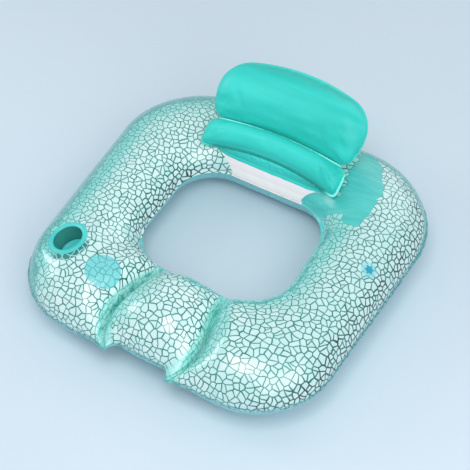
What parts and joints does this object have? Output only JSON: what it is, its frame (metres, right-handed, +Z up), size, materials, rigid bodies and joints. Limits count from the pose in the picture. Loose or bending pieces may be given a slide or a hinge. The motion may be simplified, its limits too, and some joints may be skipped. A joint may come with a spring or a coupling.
{
  "type": "inflatable pool chair",
  "caption": "Inflatable pool chair: a rounded-square ring tube with a cup holder, a reclined backrest that tilts and air valves with stem, flap and plug.",
  "frame": {"origin": "on the floor, under the middle of the ring's box", "axes": "+Z up, +Y towards the backrest, +X to the sitter's left"},
  "size_m": [1.0664, 1.0427, 0.3988],
  "materials": {
    "printed_film": "glossy film with a crackle print",
    "clear_teal_film": "glossy tinted film",
    "teal_vinyl": "satin gloss vinyl film",
    "cup_vinyl": "satin gloss vinyl",
    "white_vinyl": "satin vinyl film",
    "blue_valve": "soft glossy moulding"
  },
  "bodies": {
    "ring": {"ring_top_sheet": "printed_film", "ring_bottom_sheet": "clear_teal_film", "cup_flange": "cup_vinyl", "cup_wall": "cup_vinyl", "cup_floor": "cup_vinyl", "lobe_disc": "cup_vinyl", "rear_panel": "white_vinyl", "back_weld_strip": "teal_vinyl", "ring_valve_base": "blue_valve"},
    "backrest": {"back_tail": "teal_vinyl", "roll_front_sheet": "teal_vinyl", "roll_rear_sheet": "teal_vinyl", "pillow_front_sheet": "teal_vinyl", "pillow_rear_sheet": "teal_vinyl", "back_valve_base": "blue_valve"},
    "ring_stem": {"ring_valve_stem": "blue_valve"},
    "ring_plug": {"ring_valve_plug": "blue_valve"},
    "ring_flap": {"ring_valve_flap": "blue_valve"},
    "back_stem": {"back_valve_stem": "blue_valve"},
    "back_plug": {"back_valve_plug": "blue_valve"},
    "back_flap": {"back_valve_flap": "blue_valve"}
  },
  "joints": [
    {"name": "back_tilt", "type": "hinge", "parent": "ring", "child": "backrest", "pos_m": [0, 0.264, 0.16334], "axis": [1, 0, 0], "range_deg": [0, 42]},
    {"name": "ring_stem_slide", "type": "slide", "parent": "ring", "child": "ring_stem", "axis": [0.4134, -0.0264, 0.9102], "range_m": [0, 0.014]},
    {"name": "ring_plug_slide", "type": "slide", "parent": "ring_stem", "child": "ring_plug", "axis": [0.4134, -0.0264, 0.9102], "range_m": [0, 0.01]},
    {"name": "ring_flap_swing", "type": "hinge", "parent": "ring_stem", "child": "ring_flap", "pos_m": [0.43702, 0.02882, 0.17932], "axis": [-0.9083, 0.058, 0.4143], "range_deg": [0, 35], "stiffness_Nm_per_rad": 0.0005},
    {"name": "back_stem_slide", "type": "slide", "parent": "backrest", "child": "back_stem", "axis": [0.1085, 0.6652, -0.7388], "range_m": [0, 0.014]},
    {"name": "back_plug_slide", "type": "slide", "parent": "back_stem", "child": "back_plug", "axis": [0.1085, 0.6652, -0.7388], "range_m": [0, 0.01]},
    {"name": "back_flap_swing", "type": "hinge", "parent": "back_stem", "child": "back_flap", "pos_m": [0.11465, 0.40934, 0.28247], "axis": [0.1189, 0.7291, 0.674], "range_deg": [0, 35], "stiffness_Nm_per_rad": 0.0005}
  ]
}
